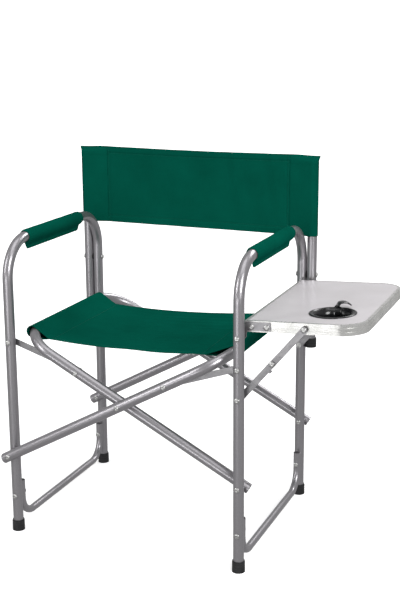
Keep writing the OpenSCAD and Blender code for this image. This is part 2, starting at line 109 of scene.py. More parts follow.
class Shader:
    """A node material with one Principled BSDF, and short helpers that add nodes to it."""

    def __init__(self, name, **sockets):
        self.material = bpy.data.materials.new(name)
        self.material.use_nodes = True
        self.tree = self.material.node_tree
        self.bsdf = self.tree.nodes["Principled BSDF"]
        for socket, value in sockets.items():
            self.bsdf.inputs[socket.replace("_", " ")].default_value = value

    def node(self, kind, links=None, **settings):
        made = self.tree.nodes.new(kind)
        for key, value in settings.items():
            setattr(made, key, value)
        for socket, source in (links or {}).items():
            if isinstance(source, bpy.types.NodeSocket):
                self.tree.links.new(source, made.inputs[socket])
            else:
                made.inputs[socket].default_value = source
        return made

    def scaled(self, vector, scale):
        return self.node("ShaderNodeMapping", {"Vector": vector, "Scale": scale}).outputs["Vector"]

    def coordinates(self, scale=(1, 1, 1)):
        return self.scaled(self.node("ShaderNodeTexCoord").outputs["Object"], scale)

    def noise(self, vector, scale, detail=3.0, roughness=0.5):
        links = {"Vector": vector, "Scale": scale, "Detail": detail, "Roughness": roughness}
        return self.node("ShaderNodeTexNoise", links).outputs["Fac"]

    def math(self, operation, a, b=0.5, clamp=False):
        made = self.node("ShaderNodeMath", {0: a, 1: b}, operation=operation, use_clamp=clamp)
        return made.outputs["Value"]

    def ramp(self, value, stops):
        made = self.node("ShaderNodeValToRGB", {"Fac": value})
        elements = made.color_ramp.elements
        while len(elements) < len(stops):
            elements.new(0.5)
        for element, (place, colour) in zip(elements, stops):
            element.position = place
            element.color = (*colour, 1)
        return made.outputs["Color"]

    def remap(self, value, low, high):
        links = {"Value": value, "To Min": low, "To Max": high}
        return self.node("ShaderNodeMapRange", links).outputs["Result"]

    def mix(self, factor, a, b):
        made = self.node("ShaderNodeMix", data_type="RGBA")
        for socket, source in (("Factor", factor), ("A", a), ("B", b)):
            target = next(s for s in made.inputs if s.name == socket and s.enabled)
            if isinstance(source, bpy.types.NodeSocket):
                self.tree.links.new(source, target)
            else:
                target.default_value = source
        return next(s for s in made.outputs if s.enabled)

    def use(self, socket, source):
        self.tree.links.new(source, self.bsdf.inputs[socket])

    def bump(self, height, strength, distance):
        links = {"Height": height, "Strength": strength, "Distance": distance}
        self.use("Normal", self.node("ShaderNodeBump", links).outputs["Normal"])


def powder_coat():
    """Silver-grey paint on the tubes: fine metal flake, a little orange peel and faint scuffs."""
    shader = Shader("silver_powder_coat", Metallic=0.8, Coat_Weight=0.1, Coat_Roughness=0.3)
    place = shader.coordinates()
    flake = shader.noise(place, 1400, 2)
    cloud = shader.noise(place, 9, 3)
    scuff = shader.noise(shader.coordinates((40, 40, 6)), 22, 6, 0.7)
    grey = shader.ramp(flake, [(0.3, (0.28, 0.27, 0.285)), (0.7, (0.40, 0.39, 0.41))])
    worn = shader.ramp(scuff, [(0.60, (0, 0, 0)), (0.78, (1, 1, 1))])
    shader.use("Base Color", shader.mix(shader.math("MULTIPLY", worn, 0.25), grey, (0.54, 0.53, 0.55, 1)))
    shader.use("Roughness", shader.remap(cloud, 0.27, 0.38))
    shader.bump(shader.noise(place, 420, 2), 0.12, 0.0004)
    return shader.material


def zinc_strap():
    """Brushed, zinc-plated flat steel."""
    shader = Shader("zinc_strap", Metallic=0.9)
    grain = shader.noise(shader.coordinates((60, 700, 60)), 8, 4, 0.6)
    blotch = shader.noise(shader.coordinates(), 60, 4)
    shader.use("Base Color", shader.ramp(blotch, [(0.3, (0.24, 0.235, 0.245)), (0.7, (0.36, 0.355, 0.365))]))
    shader.use("Roughness", shader.remap(grain, 0.26, 0.46))
    shader.bump(grain, 0.15, 0.0003)
    return shader.material


def rivet_metal():
    """Bright turned rivet heads with faint grime."""
    shader = Shader("bright_rivet", Metallic=1.0)
    grime = shader.noise(shader.coordinates(), 500, 3)
    shader.use("Base Color", shader.ramp(grime, [(0.35, (0.36, 0.36, 0.36)), (0.6, (0.60, 0.60, 0.59))]))
    shader.use("Roughness", shader.remap(grime, 0.22, 0.4))
    shader.bump(grime, 0.1, 0.0002)
    return shader.material


def moulded_plastic(name, colour, roughness, grain):
    """Black moulded plastic; grain is the depth of its moulded texture."""
    shader = Shader(name, Specular_IOR_Level=0.45)
    place = shader.coordinates()
    speck = shader.noise(place, 900, 4, 0.6)
    dust = shader.noise(place, 45, 5, 0.65)
    lighter = tuple(2.2 * c + 0.012 for c in colour)
    shader.use("Base Color", shader.ramp(dust, [(0.45, colour), (0.85, lighter)]))
    shader.use("Roughness", shader.remap(dust, roughness - 0.05, roughness + 0.1))
    shader.bump(speck, 0.3, grain)
    return shader.material


def tray_laminate():
    """Light grey laminate with a faint mottled print and soft wipe marks."""
    shader = Shader("tray_laminate", Coat_Weight=0.25, Coat_Roughness=0.18)
    place = shader.coordinates()
    mottle = shader.noise(place, 260, 4, 0.6)
    cloud = shader.noise(place, 14, 3)
    wipe = shader.noise(shader.coordinates((8, 90, 8)), 5, 4, 0.6)
    light = shader.ramp(cloud, [(0.3, (0.54, 0.515, 0.53)), (0.7, (0.60, 0.575, 0.595))])
    shade = shader.math("MULTIPLY", mottle, 0.22)
    shader.use("Base Color", shader.mix(shade, light, (0.46, 0.44, 0.46, 1)))
    shader.use("Roughness", shader.remap(wipe, 0.26, 0.42))
    shader.bump(mottle, 0.08, 0.0002)
    return shader.material


def tray_aluminium():
    """Extruded aluminium with die lines along the edge band."""
    shader = Shader("extruded_aluminium", Metallic=0.85)
    lines = shader.noise(shader.coordinates((14, 14, 1600)), 4, 4, 0.6)
    stain = shader.noise(shader.coordinates(), 30, 4)
    shader.use("Base Color", shader.ramp(stain, [(0.3, (0.62, 0.62, 0.60)), (0.7, (0.78, 0.775, 0.76))]))
    shader.use("Roughness", shader.remap(lines, 0.2, 0.38))
    shader.bump(lines, 0.2, 0.0003)
    return shader.material


def canvas():
    """Dark green woven polyester. UVs run in metres along the cloth, so the threads follow it."""
    shader = Shader("green_canvas", Sheen_Weight=0.04, Sheen_Roughness=0.5,
                    Sheen_Tint=(0.02, 0.6, 0.45, 1), Specular_IOR_Level=0.0)
    threads = 1400
    uv = shader.node("ShaderNodeUVMap", uv_map="cloth").outputs["UV"]
    wobble = shader.noise(uv, 70, 2)
    split = shader.node("ShaderNodeSeparateXYZ", {"Vector": uv})
    across = shader.math("SINE", shader.math("MULTIPLY", split.outputs["X"], threads * math.pi))
    along = shader.math("SINE", shader.math("MULTIPLY", split.outputs["Y"], threads * math.pi))
    checks = shader.math("MULTIPLY", across, along)
    weave = shader.math("ADD", shader.math("MULTIPLY", checks, 0.5), 0.5)
    slub_u = shader.noise(shader.scaled(uv, (25, 900, 1)), 1, 3)
    slub_v = shader.noise(shader.scaled(uv, (900, 25, 1)), 1, 3)
    slub = shader.math("MULTIPLY", shader.math("ADD", slub_u, slub_v), 0.5)
    cloud = shader.noise(uv, 11, 4)
    deep = (0.0006, 0.052, 0.034)
    green = (0.0010, 0.078, 0.052)
    base = shader.ramp(cloud, [(0.25, deep), (0.8, green)])
    light = shader.mix(shader.math("MULTIPLY", slub, 0.5), base, (0.002, 0.105, 0.070, 1))
    dark = shader.mix(shader.math("MULTIPLY", weave, 0.28), light, (0.0004, 0.03, 0.02, 1))
    shader.use("Base Color", dark)
    shader.use("Roughness", shader.remap(wobble, 0.72, 0.86))
    relief = shader.math("ADD", shader.math("MULTIPLY", weave, 0.6), shader.math("MULTIPLY", slub, 0.9))
    shader.bump(relief, 0.35, 0.0004)
    return shader.material


def thread_material():
    """Sewing thread, a little lighter than the canvas."""
    shader = Shader("green_thread", Specular_IOR_Level=0.1)
    twist = shader.noise(shader.coordinates(), 1800, 2)
    shader.use("Base Color", shader.ramp(twist, [(0.3, (0.001, 0.06, 0.04)), (0.7, (0.003, 0.12, 0.08))]))
    shader.use("Roughness", shader.remap(twist, 0.5, 0.7))
    return shader.material


MATERIALS = {
    "frame_steel": powder_coat(),
    "strap_steel": zinc_strap(),
    "rivet_steel": rivet_metal(),
    "black_plastic": moulded_plastic("matt_black_plastic", (0.012, 0.012, 0.013), 0.5, 0.0005),
    "cup_plastic": moulded_plastic("gloss_black_plastic", (0.006, 0.006, 0.007), 0.14, 0.0001),
    "tray_panel": tray_laminate(),
    "tray_band": tray_aluminium(),
    "green_fabric": canvas(),
}
THREAD = thread_material()


def paint_frame():
    for entry in frame["record"]["subparts"]:
        node = frame["nodes"][entry["node"]]
        node.data.materials.clear()
        node.data.materials.append(MATERIALS[entry["material_slot"]])


# ---- Mesh helpers ----


def new_object(name, vertices, faces, material, smooth=True):
    mesh = bpy.data.meshes.new(name)
    mesh.from_pydata([tuple(map(float, v)) for v in vertices], [], faces)
    mesh.materials.append(material)
    for polygon in mesh.polygons:
        polygon.use_smooth = smooth
    made = bpy.data.objects.new(name, mesh)
    bpy.context.scene.collection.objects.link(made)
    return made


def cloth_grid(name, points, material):
    """A sheet through a grid of points (rows, columns, 3), with UVs in metres along both ways."""
    rows, columns = points.shape[:2]
    faces = [
        (r * columns + c, (r + 1) * columns + c, (r + 1) * columns + c + 1, r * columns + c + 1)
        for r in range(rows - 1)
        for c in range(columns - 1)
    ]
    made = new_object(name, points.reshape(-1, 3), faces, material)
    steps_u = np.linalg.norm(np.diff(points, axis=0), axis=2).mean(axis=1)
    steps_v = np.linalg.norm(np.diff(points, axis=1), axis=2).mean(axis=0)
    u = np.concatenate([[0], np.cumsum(steps_u)])
    v = np.concatenate([[0], np.cumsum(steps_v)])
    layer = made.data.uv_layers.new(name="cloth")
    for loop in made.data.loops:
        layer.data[loop.index].uv = (u[loop.vertex_index // columns], v[loop.vertex_index % columns])
    return made


def thicken(piece, thickness=FABRIC_T):
    solid = piece.modifiers.new("thickness", "SOLIDIFY")
    solid.thickness = thickness
    solid.offset = 0
    return piece


def apply_modifiers(piece):
    bpy.context.view_layer.objects.active = piece
    with bpy.context.temp_override(object=piece, active_object=piece, selected_objects=[piece]):
        for modifier in list(piece.modifiers):
            bpy.ops.object.modifier_apply(modifier=modifier.name)


def ripples(x, y, waves):
    """A smooth random field: waves is a list of (wave length along x, along y, height)."""
    field = np.zeros_like(x)
    for length_x, length_y, height in waves:
        phase, bend = rng.uniform(0, 2 * math.pi, 2)
        warp = 0.8 * np.sin(2 * math.pi * x / (length_x * 2.3) + bend)
        field += height * np.sin(2 * math.pi * (x / length_x + y / length_y) + phase + warp)
    return field


def bell(x, centre, width):
    return np.exp(-(((x - centre) / width) ** 2))


def smooth_step(x, low, high):
    t = np.clip((x - low) / (high - low), 0, 1)
    return t * t * (3 - 2 * t)


def arc(centre, radius, start, end, steps):
    """Points round an arc in a plane, in degrees, from start to end."""
    angles = np.radians(np.linspace(start, end, steps))
    return np.stack([centre[0] + radius * np.cos(angles), centre[1] + radius * np.sin(angles)], axis=1)


def resample(path, step):
    """The same path with points an even distance apart."""
    lengths = np.concatenate([[0], np.cumsum(np.linalg.norm(np.diff(path, axis=0), axis=1))])
    count = max(2, int(round(lengths[-1] / step)) + 1)
    places = np.linspace(0, lengths[-1], count)
    return np.stack([np.interp(places, lengths, path[:, i]) for i in range(path.shape[1])], axis=1)


def stitch_row(name, path, normal):
    """A row of stitches along a path, each a short thread that dips into the cloth at both ends."""
    up = np.array(normal, dtype=float)
    quarter = STITCH_LENGTH / 4
    lengths = np.concatenate([[0], np.cumsum(np.linalg.norm(np.diff(path, axis=0), axis=1))])
    vertices, faces = [], []
    for place in np.arange(STITCH_PITCH / 2, lengths[-1], STITCH_PITCH):
        ends = [place - 2 * quarter, place - quarter, place, place + quarter, place + 2 * quarter]
        centres = np.stack([np.interp(ends, lengths, path[:, i]) for i in range(3)], axis=1)
        forward = centres[-1] - centres[0]
        forward /= np.linalg.norm(forward)
        side = np.cross(forward, up)
        base = len(vertices)
        for centre, lift, size in zip(centres, (-0.6, 0.2, 0.45, 0.2, -0.6), (0.5, 0.95, 1, 0.95, 0.5)):
            for k in range(6):
                angle = math.pi * k / 3
                ring = side * math.cos(angle) + up * math.sin(angle)
                vertices.append(centre + up * lift * THREAD_R + ring * THREAD_R * size)
        for ring in range(4):
            for k in range(6):
                a, b = base + ring * 6 + k, base + ring * 6 + (k + 1) % 6
                faces.append((a, b, b + 6, a + 6))
        faces.append(tuple(base + 5 - k for k in range(6)))
        faces.append(tuple(base + 24 + k for k in range(6)))
    return new_object(name, vertices, faces, THREAD)


# ---- Back sling ----


BACK_SEAM_REACH = 54 * MM
BACK_LAP = 0.012


def back_sleeve_path(post, sign):
    """Plan view of one sleeve, from its seam on the panel round the post and back to the seam."""
    seam = np.array([post.x - sign * BACK_SEAM_REACH, post.y])
    front = 270
    turn = 180 * sign
    loop = arc((post.x, post.y), SLEEVE_R, front - 12 * sign, front + turn + 12 * sign, 28)
    return seam, resample(np.concatenate([[seam], loop, [seam + [0, 1.2 * MM]]]), 2.2 * MM)


def make_back_sleeve(name, post, body, sign):
    seam, path = back_sleeve_path(post, sign)
    heights = np.linspace(BACK_LOW, BACK_HIGH, 90)
    grid = np.zeros((len(path), len(heights), 3))
    share = np.abs(path[:, 0] - post.x) / BACK_SEAM_REACH
    loose = np.clip(share, 0, 1)[:, None]
    from_top = (BACK_HIGH - heights)[None, :]
    # The sleeve is sewn shut above the post, so its round end flattens and grows wider.
    pinch = 1 - smooth_step(from_top, 1 * MM, 13 * MM)
    x = path[:, 0][:, None] + 0 * from_top
    y = path[:, 1][:, None] + 0 * from_top
    outward = sign * (x - post.x)
    x = x + sign * pinch * 3.5 * MM * smooth_step(outward, -4 * MM, 12 * MM)
    y = post.y + (y - post.y) * (1 - 0.93 * pinch)
    rumple = ripples(x, heights[None, :] + 0 * x, [(0.09, 0.05, 0.35 * MM), (0.05, -0.09, 0.25 * MM)])
    grid[:, :, 0] = x
    grid[:, :, 1] = y + rumple * loose - 0.5 * MM * bell(from_top, HEM, 1.5 * MM)
    grid[:, :, 2] = heights[None, :] - pinch * 1.5 * MM * smooth_step(outward, -40 * MM, 0)
    sleeve = thicken(cloth_grid(name, grid, MATERIALS["green_fabric"]))
    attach(sleeve, body)


def make_back_panel():
    left, _ = back_sleeve_path(LEFT_POST, -1)
    right, _ = back_sleeve_path(RIGHT_POST, 1)
    columns, rows = 200, 100
    s = np.linspace(-BACK_LAP, 1 + BACK_LAP, columns)[:, None]
    z = np.linspace(BACK_LOW, BACK_HIGH, rows)[None, :]
    x = left[0] + s * (right[0] - left[0]) + 0 * z
    z = z + 0 * x
    y = left[1] + s * (right[1] - left[1])
    from_low, from_high = z - BACK_LOW, BACK_HIGH - z
    # Slack: the panel bellies back a little, and soft folds run down from its top corners.
    slack = np.sin(np.pi * np.clip(s, 0, 1))
    belly = 5 * MM * slack * np.sin(np.pi * (z - BACK_LOW) / (BACK_HIGH - BACK_LOW)) ** 0.7
    folds = ripples(x, z, [(0.075, 0.9, 0.35 * MM), (0.14, -0.5, 0.6 * MM), (0.05, 0.35, 0.15 * MM)])
    right_side = smooth_step(s, 0.45, 0.85)
    drape = ripples(x, z, [(0.045, 0.28, 0.55 * MM), (0.06, -0.33, 0.5 * MM)]) * right_side
    drape = drape * smooth_step(from_low, 0.02, 0.09)
    edge = smooth_step(s, 0, 0.05) * smooth_step(1 - s, 0, 0.05)
    y = y + belly + (folds + drape) * edge
    # Hems: the cloth is folded over along its top and bottom edges.
    for away in (from_low, from_high):
        y = y - 0.7 * MM * (1 - smooth_step(away, HEM - 1 * MM, HEM + 1 * MM))
        y = y + 1.5 * MM * bell(away, HEM_LINE, 1.6 * MM)
    for seam in (np.abs(s), np.abs(1 - s)):
        y = y + 1.2 * MM * (bell(seam, 0, 0.003) + bell(seam, 0.014, 0.003))
    z = z - 2.0 * MM * slack * smooth_step(from_low, 0.06, 0.18)
    panel = thicken(cloth_grid("back_panel", np.stack([x, y, z], axis=2), MATERIALS["green_fabric"]))
    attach(panel, "left_frame")
    rows_of_thread = []
    for label, away in (("low", from_low), ("high", from_high)):
        column = int(np.argmin(np.abs(away[0] - HEM_LINE)))
        path = np.stack([x[:, column], y[:, column] - STITCH_LIFT, z[:, column]], axis=1)
        rows_of_thread.append(stitch_row(f"back_hem_stitches_{label}", path[3:-3], (0, -1, 0)))
    for label, row in (("left", 4), ("right", columns - 5)):
        path = np.stack([x[row], y[row] - STITCH_LIFT, z[row]], axis=1)
        rows_of_thread.append(stitch_row(f"back_seam_stitches_{label}", path, (0, -1, 0)))
    for piece in [panel, *rows_of_thread]:
        if piece is not panel:
            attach(piece, "left_frame")
        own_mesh(piece)
    return panel


def make_back():
    panel = make_back_panel()
    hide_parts("back_sling")
    make_back_sleeve("back_sleeve_left", LEFT_POST, "left_frame", -1)
    make_back_sleeve("back_sleeve_right", RIGHT_POST, "right_frame", 1)


# ---- Seat sling ----


SEAT_Y0, SEAT_Y1 = SEAT_LOW.y, SEAT_HIGH.y
RAIL_BEND = 72 * MM
RAIL_SLOPE = math.radians(28.4)
SEAT_HEM = 12 * MM
SEAT_HEM_LINE = SEAT_HEM - 1.5 * MM
SEAT_SLEEVE_EASE = 1.04
LEFT_SEAM_REACH = 40.8 * MM
RIGHT_SEAM_REACH = 62 * MM


def hull(points):
    """The convex hull of points in a plane, anticlockwise."""
    ordered = sorted(map(tuple, points))
    outline = []
    for run in (ordered, ordered[::-1]):
        chain = []
        for point in run:
            while len(chain) > 1 and turns_right(chain[-2], chain[-1], point):
                chain.pop()
            chain.append(point)
        outline += chain[:-1]
    return np.array(outline)


def turns_right(a, b, c):
    return (b[0] - a[0]) * (c[1] - a[1]) <= (b[1] - a[1]) * (c[0] - a[0])


def sleeve_section(straight, y, seam, count):
    """The left sleeve's section at y, about the rail: from the seam under the rail, round it and back.

    The cloth runs on straight where the rail bends away, so its section is the hull of both."""
    past = max(straight[0] - y, y - straight[1], 0.0)
    lean = math.asin(past / RAIL_BEND)
    inward = np.array([math.cos(RAIL_SLOPE), -math.sin(RAIL_SLOPE)])
    across = np.array([inward[1], -inward[0]])
    points_round = 60
    angles = np.linspace(0, 2 * math.pi, points_round, endpoint=False)[:, None]
    round_rail = SLEEVE_R * SEAT_SLEEVE_EASE * np.hstack([np.cos(angles), np.sin(angles)])
    bent = RAIL_BEND * (1 - math.cos(lean)) * inward + SLEEVE_R * (
        np.cos(angles) * inward / math.cos(lean) + np.sin(angles) * across
    )
    outline = hull(np.concatenate([round_rail, bent, [seam]]))
    first = int(np.argmin(np.linalg.norm(outline - seam, axis=1)))
    loop = np.roll(outline, -first, axis=0)[::-1]
    loop = np.concatenate([[seam], loop])
    lengths = np.concatenate([[0], np.cumsum(np.linalg.norm(np.diff(loop, axis=0), axis=1))])
    places = np.linspace(0, lengths[-1], count)
    return np.stack([np.interp(places, lengths, loop[:, i]) for i in range(2)], axis=1)


def straight_part(tube):
    low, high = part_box(tube)
    return low.y + TUBE_R + RAIL_BEND, high.y - TUBE_R - RAIL_BEND


def seat_section(y, depth, loop_count, panel_count):
    """Front view of the cloth at y, about the middle of the rails."""
    left_seam = np.array([LEFT_SEAM_REACH, -12.9 * MM])
    right_seam = np.array([RIGHT_SEAM_REACH, (-12 + 6 * depth) * MM])
    rail = np.array([RAIL_X, 0])
    left = sleeve_section(straight_part("scissor_tube_b"), y, left_seam, loop_count) - rail
    right = sleeve_section(straight_part("scissor_tube_a"), y, right_seam, loop_count)[::-1] * [-1, 1] + rail
    s = np.linspace(0, 1, panel_count + 2)[1:-1]
    sag = (6 + 1.5 * depth) * MM * 4 * s * (1 - s) * (1.15 - 0.3 * s)
    panel = left[-1] + s[:, None] * (right[0] - left[-1]) - np.stack([0 * s, sag], axis=1)
    return np.concatenate([left, panel, right])


def seat_relief(x, y, depth):
    """Height of the panel's folds, hems and seam grooves."""
    streaks = ripples(y, x, [(0.026, 1.1, 0.50 * MM), (0.041, -0.8, 0.60 * MM), (0.019, 0.7, 0.22 * MM)])
    patch = smooth_step(x, -0.15, 0.02) * smooth_step(-x, -0.215, -0.13)
    away = np.minimum(y - SEAT_Y0, SEAT_Y1 - y)
    streaks = streaks * (0.15 + 0.85 * patch) * smooth_step(away, 0.01, 0.05)
    broad = ripples(x, y, [(0.21, 0.5, 0.6 * MM), (0.13, -0.31, 0.3 * MM)]) * smooth_step(1 - depth, 0, 0.1)
    hem = 0.6 * MM * (1 - smooth_step(away, SEAT_HEM, SEAT_HEM + 2 * MM))
    groove = 0.8 * MM * bell(away, SEAT_HEM_LINE, 1.1 * MM)
    return streaks + broad + hem - groove


def ease(rows, first, last):
    """Rounds a crease off between two rows of a grid."""
    for _ in range(14):
        rows[first:last] = (rows[first - 1:last - 1] + 2 * rows[first:last] + rows[first + 1:last + 1]) / 4


def make_seat():
    loop_count, panel_count = 56, 150
    ys = np.linspace(SEAT_Y0, SEAT_Y1, 150)
    depths = np.linspace(0, 1, len(ys))
    sections = [seat_section(y, depth, loop_count, panel_count) for y, depth in zip(ys, depths)]
    sections = np.stack(sections, axis=1)
    x, z = sections[:, :, 0], sections[:, :, 1]
    y = ys[None, :] + 0 * x
    for seam in (loop_count, loop_count + panel_count):
        ease(z, seam - 9, seam + 7)
    inner = slice(loop_count, loop_count + panel_count)
    s = np.linspace(0, 1, panel_count + 2)[1:-1, None]
    edge = smooth_step(s, 0, 0.06) * smooth_step(1 - s, 0, 0.06)
    relief = seat_relief(x[inner], y[inner], depths[None, :] + 0 * x[inner])
    z[inner] += relief * edge - 0.9 * MM * (bell(s, 0.004, 0.004) + bell(s, 0.996, 0.004))
    slack = ripples(y, x, [(0.055, 0.4, 0.3 * MM), (0.09, -0.3, 0.25 * MM)])
    z[:loop_count // 3] += slack[:loop_count // 3] - 0.2 * MM
    z[-loop_count // 3:] += slack[-loop_count // 3:] - 0.2 * MM
    points = np.stack([x + CENTRE_X, y, z + RAIL_Z], axis=2)
    seat = thicken(cloth_grid("seat_cloth", points, MATERIALS["green_fabric"]))
    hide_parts("seat_sling")
    pieces = [seat]
    for label, hem_y in (("front", SEAT_Y0 + SEAT_HEM_LINE), ("rear", SEAT_Y1 - SEAT_HEM_LINE)):
        line = points[inner, int((ys <= hem_y).sum())] + [0, 0, STITCH_LIFT]
        pieces.append(stitch_row(f"seat_hem_stitches_{label}", line, (0, 0, 1)))
    for label, row in (("left", loop_count + 2), ("right", loop_count + panel_count - 3)):
        line = points[row] + [0, 0, STITCH_LIFT]
        pieces.append(stitch_row(f"seat_seam_stitches_{label}", line, (0, 0, 1)))
    for piece in pieces:
        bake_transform(piece)


# ---- Arm covers ----


def cover_section(radius, flap):
    """Front view of a cover about the tube: a teardrop whose two layers meet in a flat flap below."""
    half_t = 1.1 * MM
    root = radius + 5 * MM * flap
    open_angle = math.degrees(math.acos(radius / (root + 0.2 * MM)))
    circle = arc((0, 0), radius, open_angle - 90, 270 - open_angle, 56)
    steps = np.linspace(1, 0, 7)[:, None]
    right = np.hstack([half_t + 0 * steps, -root - 9 * MM * flap * steps])
    left = right[::-1] * [-1, 1]
    return np.concatenate([right, circle, left])


def make_arm_cover(side):
    low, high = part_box(f"{side}_arm_pad")
    cx = (low.x + high.x) / 2
    outer_r = (high.x - low.x) / 2 - 1.2 * MM
    length = high.y - low.y
    rings = []
    for s in np.linspace(0, 1, 96):
        away = np.array(min(s, 1 - s) * length)
        tuck = float(1 - smooth_step(away, 0, 4 * MM))
        radius = outer_r - tuck * (outer_r - TUBE_R - 0.9 * MM)
        section = cover_section(radius, float(np.clip(away / (9 * MM), 0.02, 1)))
        rings.append([(cx + px, low.y + s * length, ARM_Z + pz) for px, pz in section])
    points = np.array(rings)
    columns = points.shape[1]
    faces = [
        (r * columns + c, r * columns + (c + 1) % columns,
         (r + 1) * columns + (c + 1) % columns, (r + 1) * columns + c)
        for r in range(len(rings) - 1)
        for c in range(columns)
    ]
    cover = new_object(f"{side}_arm_cover", points.reshape(-1, 3), faces, MATERIALS["green_fabric"])
    pin = cover.vertex_groups.new(name="pin")
    for index in range(len(rings) * columns):
        r, c = divmod(index, columns)
        if min(r, len(rings) - 1 - r) < 3 or min(c, columns - 1 - c) < 8:
            pin.add([index], 1.0, "REPLACE")
    layer = cover.data.uv_layers.new(name="cloth")
    ring_step = 2 * math.pi * outer_r / columns
    for polygon in cover.data.polygons:
        places = [v % columns for v in polygon.vertices]
        wraps = max(places) - min(places) > columns / 2
        for k in polygon.loop_indices:
            r, c = divmod(cover.data.loops[k].vertex_index, columns)
            c = c + columns if wraps and c < columns / 2 else c
            layer.data[k].uv = (r * length / (len(rings) - 1), c * ring_step)
    swell(cover, limit=1.4 * MM)
    smooth = cover.modifiers.new("smooth", "SUBSURF")
    smooth.levels = 1
    smooth.render_levels = 1
    apply_modifiers(cover)
    pucker(cover, cx, low.y, length, outer_r)
    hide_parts(f"{side}_arm_pad")
    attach(cover, f"{side}_frame")
    seam_y = np.linspace(low.y + 10 * MM, high.y - 10 * MM, 60)
    for label, sign in (("a", 1), ("b", -1)):
        seam_x = np.full_like(seam_y, cx + sign * 1.35 * MM)
        seam_z = np.full_like(seam_y, ARM_Z - outer_r - 8 * MM)
        path = np.stack([seam_x, seam_y, seam_z], axis=1)
        stitches = stitch_row(f"{side}_arm_cover_stitches_{label}", path, (sign, 0, 0))
        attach(stitches, f"{side}_frame")


def swell(piece, limit):
    """Blows a cover up from inside with a short cloth simulation, and caps how far a point may move."""
    scene = bpy.context.scene
    rest = np.array([v.co[:] for v in piece.data.vertices])
    cloth = piece.modifiers.new("cloth", "CLOTH")
    cloth.settings.quality = 6
    cloth.settings.mass = 0.3
    cloth.settings.tension_stiffness = 30
    cloth.settings.compression_stiffness = 30
    cloth.settings.shear_stiffness = 12
    cloth.settings.bending_stiffness = 0.6
    cloth.settings.use_pressure = True
    cloth.settings.uniform_pressure_force = 3
    cloth.settings.vertex_group_mass = "pin"
    cloth.settings.effector_weights.gravity = 0
    cloth.collision_settings.use_collision = False
    for number in range(1, 16):
        scene.frame_set(number)
    evaluated = piece.evaluated_get(bpy.context.evaluated_depsgraph_get())
    moved = np.array([v.co[:] for v in evaluated.data.vertices])
    piece.modifiers.remove(cloth)
    scene.frame_set(1)
    shift = moved - rest
    distance = np.linalg.norm(shift, axis=1, keepdims=True)
    shift *= np.minimum(1, limit / np.maximum(distance, 1e-9))
    piece.data.vertices.foreach_set("co", (rest + shift).astype(np.float32).ravel())
    piece.data.update()


def pucker(piece, cx, y0, length, radius):
    """Small creases that run up from the seam and round the ends of a cover."""
    points = np.array([v.co[:] for v in piece.data.vertices])
    along = (points[:, 1] - y0) / length
    angle = np.arctan2(points[:, 2] - ARM_Z, points[:, 0] - cx)
    round_way = radius * angle
    waves = [(0.05, 0.1, 0.14 * MM), (0.075, -0.12, 0.2 * MM), (0.03, 0.07, 0.06 * MM)]
    field = ripples(points[:, 1], round_way, waves)
    near_seam = 0.4 + 0.6 * bell(np.abs(angle + math.pi / 2), 0, 1.2)
    ends = bell(along, 0.03, 0.05) + bell(along, 0.97, 0.05)
    gathers = 0.2 * MM * np.sin(angle * 17) * ends
    away = np.stack([np.cos(angle), np.zeros_like(angle), np.sin(angle)], axis=1)
    on_tube = np.hypot(points[:, 0] - cx, points[:, 2] - ARM_Z) < radius * 1.12
    shift = (field * near_seam * (1 - ends) + gathers) * on_tube
    middle_part = smooth_step(np.minimum(along, 1 - along), 0.0, 0.02)
    points += away * (shift * middle_part)[:, None]
    piece.data.vertices.foreach_set("co", points.astype(np.float32).ravel())
    piece.data.update()


# ---- Rivet domes ----


DOME_R = 5.7 * MM
DOME_H = 1.75 * MM
DOME_SINK = 1.45 * MM


def islands(node):
    """The separate solids of a node, as arrays of points."""
    work = bmesh.new()
    work.from_mesh(frame["nodes"][node].data)
    bmesh.ops.remove_doubles(work, verts=work.verts, dist=1e-6)
    left = set(work.verts)
    found = []
    while left:
        stack = [left.pop()]
        group = []
        while stack:
            vertex = stack.pop()
            group.append(vertex.co[:])
            for edge in vertex.link_edges:
                other = edge.other_vert(vertex)
                if other in left:
                    left.remove(other)
                    stack.append(other)
        found.append(np.array(group))
    work.free()
    return found


def add_dome(vertices, faces, centre, direction, radius, height):
    """A low dome with a pressed dimple in its middle, standing on a flat side at centre."""
    direction = Vector(direction)
    turn = direction.to_track_quat("Z", "Y").to_matrix()
    profile = [
        (radius, 0), (radius * 1.02, 0.25 * height), (radius * 0.9, 0.62 * height),
        (radius * 0.62, 0.92 * height), (radius * 0.4, height), (radius * 0.26, 0.9 * height),
        (0.0, 0.72 * height),
    ]
    sides = 20
    base = len(vertices)
    for r, h in profile[:-1]:
        for k in range(sides):
            angle = 2 * math.pi * k / sides
            vertices.append(centre + turn @ Vector((r * math.cos(angle), r * math.sin(angle), h)))
    vertices.append(centre + turn @ Vector((0, 0, profile[-1][1])))
    top = len(vertices) - 1
    for ring in range(len(profile) - 2):
        for k in range(sides):
            a, b = base + ring * sides + k, base + ring * sides + (k + 1) % sides
            faces.append((a, b, b + sides, a + sides))
    last = base + (len(profile) - 2) * sides
    for k in range(sides):
        faces.append((last + k, last + (k + 1) % sides, top))
    faces.append(tuple(base + sides - 1 - k for k in range(sides)))


